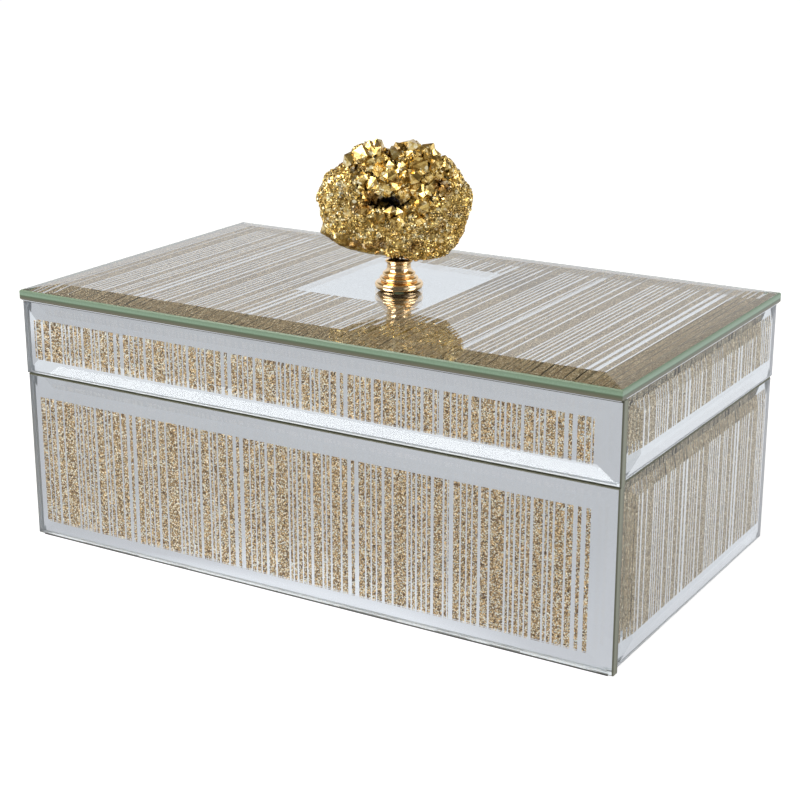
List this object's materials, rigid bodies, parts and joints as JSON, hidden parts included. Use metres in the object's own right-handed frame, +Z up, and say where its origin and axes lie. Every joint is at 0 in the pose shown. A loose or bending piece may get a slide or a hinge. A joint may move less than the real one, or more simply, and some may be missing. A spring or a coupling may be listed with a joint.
{
  "type": "jewelry box",
  "caption": "Rectangular mirrored jewellery box with bevelled glass panels, gold glitter stripes, velvet lining, hinged lid and gilt geode knob.",
  "frame": {"origin": "centre of the felt underside, on the surface the box stands on", "axes": "+X along the box's length to the viewer's right, front face towards -Y, +Z up"},
  "size_m": [0.2804, 0.1695, 0.1763],
  "materials": {
    "clear_glass": "polished, slightly green clear float glass with bevelled edges",
    "mirror_inlay": "silvered mirror with bands of gold glitter",
    "fibreboard": "raw medium-density fibreboard",
    "velvet": "short-pile black velvet",
    "felt": "matt black felt",
    "hinge_brass": "plated, satin",
    "plated_steel": "zinc plated",
    "polished_brass": "polished rose-gold plate, turned",
    "gilt_geode": "gold-coated quartz crystals, coarse in the middle and fine around"
  },
  "bodies": {
    "base": {"base_back_board": "fibreboard", "base_back_glass": "clear_glass", "base_back_inlay": "mirror_inlay", "base_back_lining": "velvet", "base_bottom_board": "fibreboard", "base_felt": "felt", "base_floor_pad": "velvet", "base_front_board": "fibreboard", "base_front_glass": "clear_glass", "base_front_inlay": "mirror_inlay", "base_front_lining": "velvet", "base_hinge_screws": "plated_steel", "base_left_board": "fibreboard", "base_left_glass": "clear_glass", "base_left_inlay": "mirror_inlay", "base_left_lining": "velvet", "base_right_board": "fibreboard", "base_right_glass": "clear_glass", "base_right_inlay": "mirror_inlay", "base_right_lining": "velvet", "left_hinge_base_leaf": "hinge_brass", "left_hinge_pin": "hinge_brass", "right_hinge_base_leaf": "hinge_brass", "right_hinge_pin": "hinge_brass"},
    "lid": {"knob_geode": "gilt_geode", "knob_screw": "plated_steel", "knob_stem": "polished_brass", "knob_washer": "plated_steel", "left_hinge_lid_leaf": "hinge_brass", "lid_back_board": "fibreboard", "lid_back_glass": "clear_glass", "lid_back_inlay": "mirror_inlay", "lid_back_lining": "velvet", "lid_front_board": "fibreboard", "lid_front_glass": "clear_glass", "lid_front_inlay": "mirror_inlay", "lid_front_lining": "velvet", "lid_hinge_screws": "plated_steel", "lid_left_board": "fibreboard", "lid_left_glass": "clear_glass", "lid_left_inlay": "mirror_inlay", "lid_left_lining": "velvet", "lid_right_board": "fibreboard", "lid_right_glass": "clear_glass", "lid_right_inlay": "mirror_inlay", "lid_right_lining": "velvet", "lid_top_board": "fibreboard", "lid_top_glass": "clear_glass", "lid_top_inlay": "mirror_inlay", "lid_top_lining": "velvet", "right_hinge_lid_leaf": "hinge_brass"}
  },
  "joints": [
    {"name": "lid_hinge", "type": "hinge", "parent": "base", "child": "lid", "pos_m": [0, 0.084, 0.075], "axis": [-1, 0, 0], "range_deg": [0, 95]}
  ]
}
